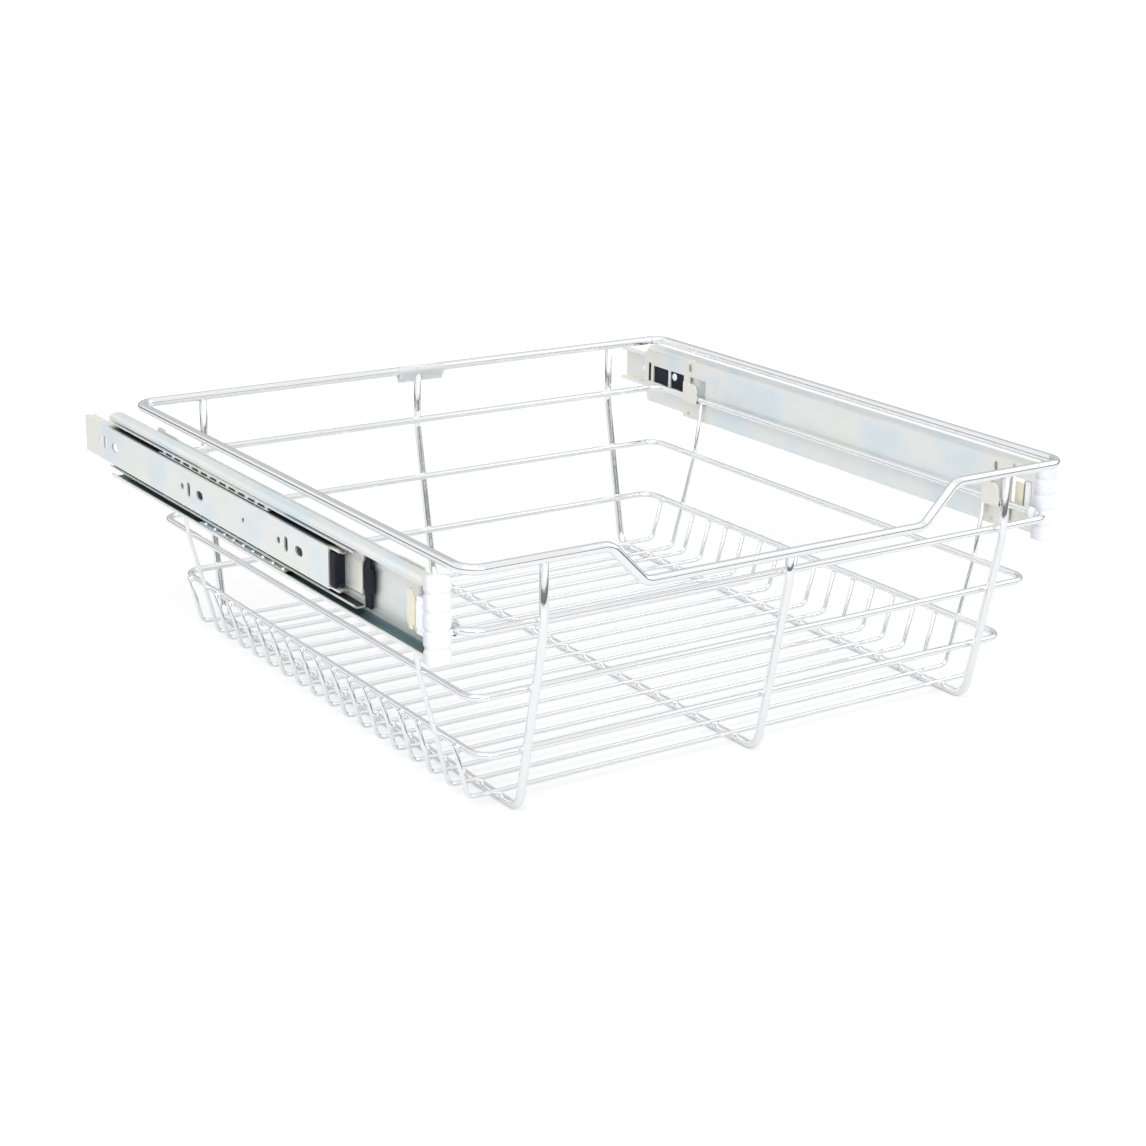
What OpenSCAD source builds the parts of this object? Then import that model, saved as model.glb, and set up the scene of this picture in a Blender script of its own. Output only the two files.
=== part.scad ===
// Pull-out wire basket on a pair of side-mounted full-extension ball slides.
// X runs across the basket, the front is at -Y and +Z is up. The origin lies
// on the ground in the middle of the whole assembly. At rest the basket is
// drawn a little way out of its wall rails.

/* [Basket] */
// Width of the rim, centre to centre of its wire
rim_w = 460; // [380:1:560]
// Depth of the rim, centre to centre of its wire
rim_d = 455.5; // [440:0.5:520]
// Drop from the rim to the underside wires of the base
base_drop = 162.5; // [150:0.5:200]
// Width across the base, between the corners of the cross wires
base_w = 403; // [370:1:420]
// Depth of the base, between the corners of the U frames
base_d = 407; // [395:1:430]
// Width across the long cross wires at the middle ring
shoulder_w = 444; // [430:1:450]
// Drop from the rim to the upper ring
upper_drop = 38.7; // [34:0.1:42]
// Drop from the rim to the middle ring
middle_drop = 82.3; // [70:0.1:95]
// Drop from the rim to the lower ring
lower_drop = 123.5; // [110:0.1:132]
// How far the sides of the upper ring lie inside the rim
upper_inset = 3.6; // [3:0.1:6]
// Distance of the outer U frames from the middle one
u_spacing = 179; // [120:1:185]
// Number of cross wires in the base
cross_count = 18; // [10:1:20]
// Pitch of the cross wires
cross_pitch = 22; // [18:0.5:22]
// How far the row of cross wires lies behind the middle
cross_shift = 4.6; // [-6:0.1:6]
// How far the rear long cross wire is set forward of its place in the row
long_rear_set = 5.5; // [0:0.5:7]

/* [Wire] */
// Rim wire, bright plated
rim_wire_d = 6.5; // [5:0.1:8]
// U frame wire, bright plated
u_wire_d = 5.5; // [4:0.1:7]
// Upper ring wire, bright plated
upper_wire_d = 5; // [4:0.1:6]
// Middle and lower ring wire, bright plated
ring_wire_d = 4.5; // [3:0.1:6]
// Cross wire, bright plated
cross_wire_d = 3; // [2.4:0.1:4]
// How deep crossing wires sink into each other where they are welded
weld = 0.2; // [0.05:0.05:0.3]
// Bend radius at the corners of the rim and the rings
ring_bend = 12; // [10:0.5:20]
// Bend radius at the foot of the U frames
u_bend = 12; // [10:0.5:20]
// Bend radius at the corners of the cross wires
cross_bend = 6; // [5:0.5:10]

/* [Front scoop] */
// Depth of the dip in the front rim
scoop_drop = 25.7; // [18:0.1:28]
// Half width of the dip at the top
scoop_half = 134; // [110:1:150]
// Slope of the ends of the dip
scoop_angle = 45; // [35:1:60]
// Bend radius in the dip
scoop_bend = 12; // [8:0.5:16]

/* [Slide] */
// Length of the channel rail
slide_len = 450; // [430:1:480]
// Height of the channel rail
slide_h = 48; // [46:0.1:50]
// Thickness of the whole slide
slide_t = 12.7; // [12.5:0.1:14]
// Thickness of the rolled sheet
sheet_t = 1.2; // [1:0.05:1.3]
// Diameter of the balls
ball_d = 4; // [3.6:0.1:4]
// Clearance between a rail and a ball or a cage
run_gap = 0.3; // [0.25:0.05:0.35]
// Drop from the rim to the middle of the slide
slide_drop = 32.9; // [31:0.1:34]
// How far the channel rail starts behind the rim
slide_setback = 24; // [20:1:35]
// How much shorter the wall rail is than the channel
wall_short = 46; // [40:1:60]
// How much shorter the middle rail is than the channel
middle_short = 77; // [70:1:90]
// Room kept for the catch in front of the shut wall rail
catch_room = 26.8; // [26:0.1:30]
// How far the basket is pulled out at rest
rest_pull = 65; // [0:1:120]

/* [Ball cages] */
// Thickness of the cage strip
cage_t = 0.5; // [0.4:0.05:0.5]
// Pitch of the balls
ball_pitch = 14.3; // [10:0.1:16]
// Balls in each row of an inner cage
inner_count = 12; // [6:1:12]
// Balls in each row of an outer cage
outer_count = 9; // [5:1:9]

/* [Carrier plate] */
// Height of the carrier plate
plate_h = 47.2; // [46:0.1:48]
// How far the middle of the plate lies below the middle of the slide
plate_low = 0.9; // [0:0.1:1.5]
// Width of the rear hooks along the rail
hook_w = 17.5; // [12:0.5:20]
// Height of the hooks over the middle of the upper ring
hook_rise = 12.5; // [6:0.5:14]
// How much higher the hook's window reaches than the hook
window_rise = 2.8; // [1:0.1:4]
// Length of the sloped step between the middle and the ends of the plate
joggle_l = 9; // [6:0.5:12]
// Height of the small ear on the top edge of the plate
ear_rise = 1.6; // [1:0.1:2.5]
// Diameter of the small hole under each hook
plate_hole_d = 3.5; // [2:0.1:4]

/* [Wall rail holes] */
// Diameter of the round screw holes
screw_hole_d = 4.6; // [3.5:0.1:5.5]
// Distance between the three groups of holes
group_pitch = 145; // [120:1:148]
// Distance from the rear end of the rail to the first screw hole
group_start = 26; // [20:1:40]
// Distance from a screw hole to its upright slot
upright_step = 10.5; // [8:0.5:12]
// Length of the upright slots
upright_len = 10; // [8:0.5:12]
// Distance from a screw hole to its level slot
level_step = 28; // [26:0.5:32]
// Length of the level slots
level_len = 10; // [8:0.5:12]
// Width of the level slots
level_w = 6; // [5:0.1:7]
// Diameter of the small locking hole
lock_hole_d = 3.4; // [2:0.1:4]

/* [Plastic parts] */
// Height of the front cap
cap_h = 52.5; // [51:0.1:55]
// Length of the front cap along the rail
cap_l = 9.4; // [8:0.1:14]
// Number of steps on the front cap
cap_steps = 5; // [3:1:7]
// Depth of the grooves between the steps
cap_groove = 0.9; // [0.5:0.1:1.2]
// Length of the black bumper of the middle rail
bumper_l = 13.5; // [8:0.5:13.5]
// Length of the rear stop
stop_l = 52; // [40:1:52]
// Diameter of the button on the rear stop
button_d = 5; // [3:0.1:6]

/* [Hidden] */

$fn = 48;
LEFT = -1;
RIGHT = 1;
PLATED = [0.94, 0.94, 0.95];
ZINC = [0.72, 0.76, 0.76];
BRASS = [0.78, 0.68, 0.42];
STEEL = [0.80, 0.81, 0.82];
WHITE = [0.95, 0.95, 0.96];
BLACK = [0.06, 0.06, 0.07];

// Joints between the straight and the bent lengths of one wire
lap = 0.06;
hair = 0.03;

// Heights, measured up from the ground
rim_z = base_drop + u_wire_d / 2;
slide_z = rim_z - slide_drop;
upper_z = rim_z - upper_drop;
middle_z = rim_z - middle_drop;
lower_z = rim_z - lower_drop;
u_foot_z = rim_z - base_drop;
cross_foot_z = u_foot_z + u_wire_d / 2 + cross_wire_d / 2 - weld;

// Slide stations, measured from the middle of the basket
channel_y0 = slide_setback - rim_d / 2;
channel_y1 = channel_y0 + slide_len;
wall_len = slide_len - wall_short;
wall_y0 = channel_y0 + catch_room + rest_pull;
wall_y1 = wall_y0 + wall_len;
middle_len = slide_len - middle_short;
middle_lead = 25;
middle_y0 = channel_y0 + catch_room + middle_lead + rest_pull / 2;
middle_y1 = middle_y0 + middle_len;

// The whole assembly reaches from the front of the rim to the end of the wall
// rails, and the origin is half way between them
y_mid = (wall_y1 - rim_d / 2 - rim_wire_d / 2) / 2;

// Section of the slide: u runs from the cabinet wall towards the basket and
// v up from the middle of the slide
ball_r = ball_d / 2;
race_r = ball_r + run_gap;
half_h = slide_h / 2;
lip_face = 0.2;
outer_u = lip_face + sheet_t + race_r;
outer_v = half_h - sheet_t - race_r;
middle_half = outer_v - race_r;
inner_v = middle_half - sheet_t - race_r;
inner_u = outer_u + 0.9;
wall_half = inner_v - race_r + 0.75;
channel_web_u = slide_t - sheet_t;
outer_cage_u = channel_web_u - run_gap - cage_t - 0.2;
middle_web_u = outer_cage_u - run_gap - 0.2 - sheet_t;
inner_cage_u = middle_web_u - run_gap - cage_t - 0.05;
corner_r = 4.4;
middle_corner_r = 2.4;

// Plan position of the slides: the carrier plate stands just outside the
// upper ring and the wall rail's face is the outermost surface
ring_half = rim_w / 2 - upper_inset;
plate_gap = 1.5;
wall_x = ring_half + upper_wire_d / 2 + plate_gap + sheet_t + slide_t;
ring_u = wall_x - ring_half;
ring_v = slide_drop - upper_drop;

// Lean of the walls, as half widths and half depths at a height
front_top = rim_d / 2;
knee_drop = upper_drop + 6;
function u_half(drop) =
    front_top - (front_top - base_d / 2) * max(0, drop - knee_drop) / (base_drop - knee_drop);
cross_foot_drop = rim_z - cross_foot_z;
function side_half(drop) =
    shoulder_w / 2
    - (shoulder_w - base_w) / 2 * (drop - middle_drop) / (cross_foot_drop - middle_drop);

// Stations of the cross wires, counted from the rear
function cross_y(i) = ((cross_count - 1) / 2 - i) * cross_pitch + cross_shift;
long_rear_y = cross_y(1) - long_rear_set;
long_front_y = cross_y(cross_count - 2);

// Hooks and plate, measured from the middle of the basket
hook_clear = 2;
hook_rear_y0 = long_rear_y + hook_clear;
hook_rear_y1 = hook_rear_y0 + hook_w;
hook_front_y1 = long_front_y - hook_clear;
hook_front_y0 = hook_front_y1 - hook_w + 1.5;
window_reach = 3.6;
plate_y0 = hook_front_y0 - 4;
plate_y1 = hook_rear_y1 + 8;
plate_v0 = -plate_low - plate_h / 2;
plate_v1 = -plate_low + plate_h / 2;
wire_gap = 0.3;

// Ball cages at rest, from their shut places
cage_end = 6;
inner_cage_len = (inner_count - 1) * ball_pitch + 2 * cage_end;
outer_cage_len = (outer_count - 1) * ball_pitch + 2 * cage_end;
inner_cage_y0 = channel_y0 + 0.33 * slide_len + rest_pull * 3 / 4;
outer_cage_y0 = channel_y0 + 0.352 * slide_len + rest_pull / 4;

// ---------------------------------------------------------------- helpers

// Turn between two runs of a flat path, positive to the left
function heading(a, b) = atan2(b[1] - a[1], b[0] - a[0]);
function turn(a, b, c) =
    let (t = heading(b, c) - heading(a, b))
    t > 180 ? t - 360 : t < -180 ? t + 360 : t;
function trim(a, b, c, r) = r * tan(abs(turn(a, b, c)) / 2);

// Round wire bent along a flat path in the XY plane, with a bend radius for
// each point; the two ends of an open path are cut square. The straight runs
// are a hair thinner than the bends and reach a hair into them.
module bent_wire(path, bends, d, closed = false) {
    n = len(path);
    for (i = [0 : closed ? n - 1 : n - 2]) {
        a = path[i];
        b = path[(i + 1) % n];
        before = path[(i + n - 1) % n];
        after = path[(i + 2) % n];
        cut_a = closed || i > 0 ? trim(before, a, b, bends[i]) - lap : 0;
        cut_b = closed || i < n - 2 ? trim(a, b, after, bends[(i + 1) % n]) - lap : 0;
        run = norm(b - a) - cut_a - cut_b;
        if (run > 3 * lap)
            translate([a[0], a[1], 0])
                rotate([0, 0, heading(a, b)])
                    translate([cut_a, 0, 0])
                        rotate([0, 90, 0])
                            cylinder(d = d - hair, h = run);
    }
    for (i = [closed ? 0 : 1 : closed ? n - 1 : n - 2])
        wire_bend(path[(i + n - 1) % n], path[i], path[(i + 1) % n], bends[i], d);
}

// One bend of a round wire at the corner b
module wire_bend(a, b, c, r, d) {
    way = heading(a, b);
    angle = turn(a, b, c);
    side = angle > 0 ? 1 : -1;
    back = trim(a, b, c, r);
    centre = [b[0] - back * cos(way) - side * r * sin(way),
              b[1] - back * sin(way) + side * r * cos(way)];
    first = angle > 0 ? way - 90 : way + 90 + angle;
    translate([centre[0], centre[1], 0])
        rotate([0, 0, first])
            rotate_extrude(angle = abs(angle))
                translate([r, 0])
                    circle(d = d);
}

// Closed ring of wire at a height
module ring(half_w, half_d, z, d) {
    translate([0, 0, z])
        bent_wire([[-half_w, -half_d], [half_w, -half_d], [half_w, half_d], [-half_w, half_d]],
                  [ring_bend, ring_bend, ring_bend, ring_bend], d, closed = true);
}

module on_basket() {
    translate([0, -y_mid, 0])
        children();
}

// Local axes of one slide: u towards the basket, y along it, v up
module at_slide(side) {
    translate([side * wall_x, -y_mid, slide_z])
        mirror([side == RIGHT ? 1 : 0, 0, 0])
            children();
}

// A flat shape in u and v drawn out along the slide from y0 to y1
module drawn(y0, y1) {
    translate([0, y1, 0])
        rotate([90, 0, 0])
            linear_extrude(height = y1 - y0)
                children();
}

// A block by its lowest and highest corners
module block(low, high) {
    translate(low)
        cube(high - low);
}

// Bore through the sheet along u
module hole_u(y, v, d, u0, u1) {
    translate([u0, y, v])
        rotate([0, 90, 0])
            cylinder(d = d, h = u1 - u0);
}

// Slot through the sheet along u, with its full length along y or along v
module slot_u(y, v, len_y, len_v, u0, u1) {
    d = min(len_y, len_v);
    dy = (len_y - d) / 2;
    dv = (len_v - d) / 2;
    hole_u(y - dy, v - dv, d, u0, u1);
    hole_u(y + dy, v + dv, d, u0, u1);
    if (dy > 0)
        block([u0, y - dy, v - d / 2], [u1, y + dy, v + d / 2]);
    if (dv > 0)
        block([u0, y - d / 2, v - dv], [u1, y + d / 2, v + dv]);
}

// Part of a rolled sheet that hugs a ball: a ring sector from a0 to a1
module race(u, v, a0, a1) {
    reach = 3 * (race_r + sheet_t);
    translate([u, v])
        intersection() {
            difference() {
                circle(r = race_r + sheet_t);
                circle(r = race_r);
            }
            polygon([[0, 0],
                     for (k = [0 : 4]) reach * [cos(a0 + (a1 - a0) * k / 4), sin(a0 + (a1 - a0) * k / 4)]]);
        }
}

// The same shape above and below the middle of the slide
module both_halves() {
    children();
    mirror([0, 1])
        children();
}

// ---------------------------------------------------------------- basket

module rim_wire() {
    hw = rim_w / 2;
    hd = rim_d / 2;
    ramp = scoop_drop / tan(scoop_angle);
    dip_end = scoop_half + scoop_bend * tan(scoop_angle / 2);
    color(PLATED)
        on_basket() {
            translate([0, 0, rim_z])
                bent_wire([[lap - dip_end, -hd], [-hw, -hd], [-hw, hd],
                           [hw, hd], [hw, -hd], [dip_end - lap, -hd]],
                          [0, ring_bend, ring_bend, ring_bend, ring_bend, 0], rim_wire_d);
            translate([0, -hd, rim_z])
                rotate([90, 0, 0])
                    bent_wire([[-dip_end, 0], [-scoop_half, 0], [ramp - scoop_half, -scoop_drop],
                               [scoop_half - ramp, -scoop_drop], [scoop_half, 0], [dip_end, 0]],
                              [0, scoop_bend, scoop_bend, scoop_bend, scoop_bend, 0], rim_wire_d);
        }
}

module upper_ring_wire() {
    color(PLATED)
        on_basket()
            ring(ring_half, front_top - (u_wire_d + upper_wire_d) / 2 + weld, upper_z, upper_wire_d);
}

module wall_ring(drop) {
    half_w = side_half(drop) - (cross_wire_d + ring_wire_d) / 2 + weld;
    half_d = u_half(drop) - (u_wire_d + ring_wire_d) / 2 + weld;
    color(PLATED)
        on_basket()
            ring(half_w, half_d, rim_z - drop, ring_wire_d);
}

// A U frame runs from the front rim down, under the base and up to the rear rim
module u_frame(x, front_drop) {
    butt = rim_wire_d / 2 - 0.3;
    knee_bend = 40;
    color(PLATED)
        on_basket()
            translate([x, 0, 0])
                rotate([90, 0, 90])
                    bent_wire([[-front_top, rim_z - front_drop - butt],
                               [-front_top, rim_z - knee_drop],
                               [-base_d / 2, u_foot_z],
                               [base_d / 2, u_foot_z],
                               [front_top, rim_z - knee_drop],
                               [front_top, rim_z - butt]],
                              [0, knee_bend, u_bend, u_bend, knee_bend, 0], u_wire_d);
}

// Cross wires hang from the outside of the lower ring and lie on the U frames
module cross_wire(i) {
    top_drop = lower_drop - 1;
    top = side_half(top_drop);
    translate([0, cross_y(i), 0])
        rotate([90, 0, 0])
            bent_wire([[-top, rim_z - top_drop], [-base_w / 2, cross_foot_z],
                       [base_w / 2, cross_foot_z], [top, rim_z - top_drop]],
                      [0, cross_bend, cross_bend, 0], cross_wire_d);
}

module cross_wires(first, last) {
    color(PLATED)
        on_basket()
            for (i = [first : last])
                if (i != 1 && i != cross_count - 2)
                    cross_wire(i);
}

// The second wire from each end runs on up to the upper ring, beside the hooks
module long_cross_wires() {
    top = ring_half + 0.9;
    top_z = upper_z - upper_wire_d / 2 + weld;
    shoulder = shoulder_w / 2;
    knee_bend = 30;
    color(PLATED)
        on_basket()
            for (y = [long_rear_y, long_front_y])
                translate([0, y, 0])
                    rotate([90, 0, 0])
                        bent_wire([[-top, top_z], [-shoulder, middle_z], [-base_w / 2, cross_foot_z],
                                   [base_w / 2, cross_foot_z], [shoulder, middle_z], [top, top_z]],
                                  [0, knee_bend, cross_bend, cross_bend, knee_bend, 0], cross_wire_d);
}

// ---------------------------------------------------------------- slides

module channel_section() {
    translate([channel_web_u, -half_h + corner_r])
        square([sheet_t, slide_h - 2 * corner_r]);
    both_halves() {
        translate([outer_u, half_h - sheet_t])
            square([slide_t - corner_r - outer_u, sheet_t]);
        translate([slide_t - corner_r, half_h - corner_r])
            intersection() {
                difference() {
                    circle(r = corner_r);
                    circle(r = corner_r - sheet_t);
                }
                square(corner_r);
            }
        race(outer_u, outer_v, 90, 183);
    }
}

module channel_rail(side) {
    front_window = [channel_y0 + 3, channel_y0 + 23];
    rear_windows = [[channel_y1 - 30, channel_y1 - 9], [channel_y1 - 52, channel_y1 - 33]];
    color(ZINC)
        at_slide(side)
            difference() {
                drawn(channel_y0, channel_y1)
                    channel_section();
                block([channel_web_u - 1, front_window[0], -9.6], [slide_t + 1, front_window[1], 12.5]);
                for (w = rear_windows)
                    block([channel_web_u - 1, w[0], -5.5], [slide_t + 1, w[1], 8.5]);
                block([channel_web_u - 1, channel_y1 - 5.5, -5.5], [slide_t + 1, channel_y1 + 1, 10]);
            }
}

// The front end of the web is raised towards the wall to stiffen it
module middle_section(raise) {
    u0 = middle_web_u;
    u1 = middle_web_u + sheet_t;
    flat = middle_half - middle_corner_r;
    foot = 0.64 * middle_half;
    brow = foot - 2;
    if (raise > 0)
        polygon([[u0, -flat], [u1, -flat], [u1, -foot], [u1 - raise, -brow],
                 [u1 - raise, brow], [u1, foot], [u1, flat], [u0, flat],
                 [u0, foot], [u0 - raise, brow], [u0 - raise, -brow], [u0, -foot]]);
    else
        translate([u0, -flat])
            square([sheet_t, 2 * flat]);
    both_halves() {
        translate([inner_u, middle_half - sheet_t])
            square([u1 - middle_corner_r - inner_u, sheet_t]);
        translate([u1 - middle_corner_r, flat])
            intersection() {
                difference() {
                    circle(r = middle_corner_r);
                    circle(r = middle_corner_r - sheet_t);
                }
                square(middle_corner_r);
            }
        race(inner_u, inner_v, 90, 148);
    }
}

module middle_rail(side) {
    color(ZINC)
        at_slide(side) {
            drawn(middle_y0, middle_y0 + 22)
                middle_section(1.1);
            drawn(middle_y0 + 21.5, middle_y1)
                middle_section(0);
        }
}

module wall_section() {
    translate([0, -wall_half])
        square([sheet_t, 2 * wall_half]);
    both_halves() {
        translate([0, wall_half - sheet_t])
            square([sheet_t + 1, sheet_t]);
        race(inner_u, inner_v, 211, 330);
    }
}

// Rail that is screwed to the cabinet: three groups of a round hole, an
// upright slot and a level slot, and flange tips that reach past the web
module wall_rail(side) {
    tip = 21;
    tip_bite = 1.6;
    color(ZINC)
        at_slide(side)
            difference() {
                drawn(wall_y0, wall_y1)
                    wall_section();
                block([-1, wall_y0 - 1, -wall_half - 1], [sheet_t + 0.35, wall_y0 + tip, wall_half + 1]);
                for (g = [0 : 2]) {
                    y = wall_y1 - group_start - g * group_pitch;
                    hole_u(y, 0, screw_hole_d, -1, sheet_t + 1);
                    slot_u(y - upright_step, 0, screw_hole_d, upright_len, -1, sheet_t + 1);
                    slot_u(y - level_step, 0, level_len, level_w, -1, sheet_t + 1);
                }
                hole_u(wall_y1 - group_start - 1.65 * group_pitch, 0, lock_hole_d, -1, sheet_t + 1);
            }
}

// A cage is a thin channel whose two strips have a hole for each ball
module cage(web_u, strip_u, strip_v, ball_u, ball_v, y0, length, count) {
    cut_r = sqrt(pow(ball_r, 2) - pow(ball_v - strip_v - cage_t / 2, 2)) + 0.1;
    difference() {
        drawn(y0, y0 + length)
            difference() {
                translate([strip_u, -strip_v - cage_t])
                    square([web_u + cage_t - strip_u, 2 * (strip_v + cage_t)]);
                translate([strip_u - 1, -strip_v])
                    square([web_u - strip_u + 1, 2 * strip_v]);
            }
        for (k = [0 : count - 1], m = [-1, 1])
            translate([ball_u, y0 + cage_end + k * ball_pitch, m * (strip_v + cage_t / 2)])
                cylinder(r = cut_r, h = 3 * cage_t, center = true);
    }
}

module balls(ball_u, ball_v, y0, count) {
    for (k = [0 : count - 1], m = [-1, 1])
        translate([ball_u, y0 + cage_end + k * ball_pitch, m * ball_v])
            sphere(r = ball_r);
}

module inner_cage(side) {
    color(STEEL)
        at_slide(side)
            cage(inner_cage_u, inner_u - 2.6, inner_v - 0.8, inner_u, inner_v,
                 inner_cage_y0, inner_cage_len, inner_count);
}

module inner_balls(side) {
    color(STEEL)
        at_slide(side)
            balls(inner_u, inner_v, inner_cage_y0, inner_count);
}

module outer_cage(side) {
    color(STEEL)
        at_slide(side)
            cage(outer_cage_u, outer_u - 2.5, outer_v - 1.05, outer_u, outer_v,
                 outer_cage_y0, outer_cage_len, outer_count);
}

module outer_balls(side) {
    color(STEEL)
        at_slide(side)
            balls(outer_u, outer_v, outer_cage_y0, outer_count);
}

// Plate between the channel rail and the basket. Its middle lies against the
// channel and its ends are stepped inwards by the thickness of the sheet. Each
// hook is cut from a window, passes under the upper ring and stands up inside.
module carrier_plate(side) {
    c0 = slide_t;
    c1 = c0 + sheet_t;
    e1 = c1 + sheet_t;
    front_step = hook_front_y1 + 4;
    rear_step = hook_rear_y0 - window_reach - 0.4;
    hook_r = upper_wire_d / 2 + wire_gap;
    hook_u = ring_u + hook_r;
    foot_v = ring_v - hook_r;
    hook_v1 = ring_v + hook_rise;
    window_v1 = hook_v1 + window_rise;
    ear_w = 12;
    color(ZINC)
        at_slide(side) {
            difference() {
                union() {
                    translate([0, 0, plate_v0])
                        linear_extrude(height = plate_h)
                            polygon([[c1, plate_y0], [e1, plate_y0], [e1, front_step],
                                     [c1, front_step + joggle_l], [c1, rear_step - joggle_l],
                                     [e1, rear_step], [e1, plate_y1], [c1, plate_y1], [c1, rear_step],
                                     [c0, rear_step - joggle_l], [c0, front_step + joggle_l],
                                     [c1, front_step]]);
                    plate_ear(plate_y1 - ear_w - 1, ear_w, c1, e1);
                }
                block([c0 - 1, hook_rear_y0 - window_reach, foot_v], [e1 + 1, hook_rear_y1, window_v1]);
                block([c0 - 1, hook_front_y0 - 2, foot_v], [e1 + 1, hook_front_y1, window_v1]);
                for (y = [plate_y1 - 8, hook_front_y1 - 5]) {
                    hole_u(y, plate_v0 + 3.9, plate_hole_d, c0 - 1, e1 + 1);
                    slot_u(y, plate_v1 - 6.2, 4, 7, c0 - 1, e1 + 1);
                }
            }
            for (span = [[hook_rear_y0, hook_rear_y1], [hook_front_y0, hook_front_y1]])
                plate_hook(span[0], span[1], c1, hook_u, foot_v, hook_v1);
        }
}

// Low ear on the rear top edge of the plate, with rounded shoulders
module plate_ear(y0, width, u0, u1) {
    round_r = ear_rise - 0.1;
    top_v = plate_v1 + ear_rise;
    block([u0, y0, plate_v1 - 0.5], [u1, y0 + width, top_v - round_r]);
    block([u0, y0 + round_r, plate_v1 - 0.5], [u1, y0 + width - round_r, top_v]);
    hole_u(y0 + round_r, top_v - round_r, 2 * round_r, u0, u1);
    hole_u(y0 + width - round_r, top_v - round_r, 2 * round_r, u0, u1);
}

// Foot under the wire and a tongue in front of it, rounded at its free corner
module plate_hook(y0, y1, plate_u, hook_u, foot_v, top_v) {
    bend = 1.6;
    round_r = 7;
    block([plate_u, y0, foot_v - sheet_t], [hook_u + sheet_t - bend, y1, foot_v]);
    translate([hook_u + sheet_t - bend, 0, foot_v - sheet_t + bend])
        intersection() {
            drawn(y0, y1)
                difference() {
                    circle(r = bend);
                    circle(r = bend - sheet_t);
                }
            block([0, y0, -bend], [bend, y1, 0]);
        }
    difference() {
        block([hook_u, y0, foot_v - sheet_t + bend], [hook_u + sheet_t, y1, top_v]);
        difference() {
            block([hook_u - 1, y0 - 1, top_v - round_r], [hook_u + sheet_t + 1, y0 + round_r, top_v + 1]);
            hole_u(y0 + round_r, top_v - round_r, 2 * round_r, hook_u - 1, hook_u + sheet_t + 1);
        }
    }
}

// Stepped white cap on the front end of the channel, with a plug that fills
// the channel's mouth and a clip that takes the side of the upper ring
module front_cap(side) {
    step = cap_h / (cap_steps - 0.2);
    y0 = channel_y0 - cap_l;
    u0 = lip_face + 0.1;
    plug_v = 8;
    land = 0.8 * step;
    clip_r = upper_wire_d / 2 + wire_gap;
    clip_t = 1.6;
    clip_y0 = y0 + 1.5;
    clip_y1 = y0 + cap_l - 1.5;
    color(WHITE)
        at_slide(side) {
            for (k = [0 : cap_steps - 1])
                block([u0, y0, -cap_h / 2 + k * step],
                      [slide_t + sheet_t + 0.6, channel_y0 - 0.1, -cap_h / 2 + k * step + land]);
            block([u0 + cap_groove, y0 + cap_groove, -cap_h / 2],
                  [slide_t + sheet_t + 0.6 - cap_groove, channel_y0 - 0.1, cap_h / 2]);
            for (m = [0, 1])
                mirror([0, 0, m])
                    block([outer_u + race_r + sheet_t + 0.3, channel_y0 - 1, half_h - sheet_t - plug_v],
                          [channel_web_u - run_gap, channel_y0 + 4, half_h - sheet_t - run_gap - 1]);
            difference() {
                union() {
                    drawn(clip_y0, clip_y1)
                        translate([ring_u, ring_v])
                            circle(r = clip_r + clip_t);
                    block([slide_t, clip_y0, ring_v - clip_r - clip_t], [ring_u, clip_y1, ring_v - clip_r + 0.4]);
                }
                drawn(clip_y0 - 1, clip_y1 + 1)
                    translate([ring_u, ring_v])
                        circle(r = clip_r);
                block([ring_u - 8, clip_y0 - 1, ring_v + 0.5], [ring_u + 1.5, clip_y1 + 1, ring_v + 8]);
            }
        }
}

// Bent brass-coloured spring that holds the shut wall rail by its tips
module catch_spring(side) {
    y0 = channel_y0 + 10;
    y1 = channel_y0 + 19.5;
    spring_t = 0.8;
    face_u = 0.8;
    color(BRASS)
        at_slide(side) {
            difference() {
                block([face_u, y0, -12], [face_u + spring_t, y1, 15]);
                hole_u((y0 + y1) / 2, -1.7, 3, face_u - 1, face_u + spring_t + 1);
            }
            block([face_u, y0, -9], [slide_t + 0.6, y0 + spring_t, 12]);
            block([slide_t + 0.6 - spring_t, y0, -7.7], [slide_t + 0.6, y1 - 1, 10.3]);
        }
}

// White plastic block behind the catch spring
module catch_block(side) {
    y0 = channel_y0 + 0.3;
    y1 = channel_y0 + 9;
    color(WHITE)
        at_slide(side) {
            block([1.4, y0, -10.2], [channel_web_u - run_gap, y1, 12.3]);
            block([channel_web_u - run_gap - 1, y0 + 4.4, -9.2], [slide_t + 0.5, y1, 11.8]);
            block([0.4, y0 + 1, -6.7], [1.6, y1 - 1, 8.8]);
        }
}

// Thin black stop behind the windows at the rear of the channel
module rear_stop(side) {
    u0 = middle_web_u + sheet_t + run_gap;
    u1 = channel_web_u - 0.1;
    color(BLACK)
        at_slide(side)
            difference() {
                block([u0, channel_y1 - stop_l, -11], [u1, channel_y1 - 0.5, 11]);
                hole_u(channel_y1 - 38, 4.2, button_d + 0.2, u0 - 1, u1 + 1);
            }
}

module stop_button(side) {
    u0 = middle_web_u + sheet_t + run_gap;
    color(WHITE)
        at_slide(side)
            translate([u0, channel_y1 - 38, 4.2])
                rotate([0, 90, 0])
                    cylinder(d = button_d, h = slide_t - 0.3 - u0);
}

// Black bumper between the tips of the wall rail
module wall_bumper(side) {
    half_v = inner_v - race_r - sheet_t - 0.3;
    color(BLACK)
        at_slide(side) {
            block([0.4, wall_y0 + 3.5, -half_v], [inner_cage_u - 0.5, wall_y0 + 20.7, half_v]);
            block([2, wall_y0 + 20, -half_v + 3], [inner_cage_u - 0.5, wall_y0 + 30, half_v - 3]);
        }
}

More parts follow.
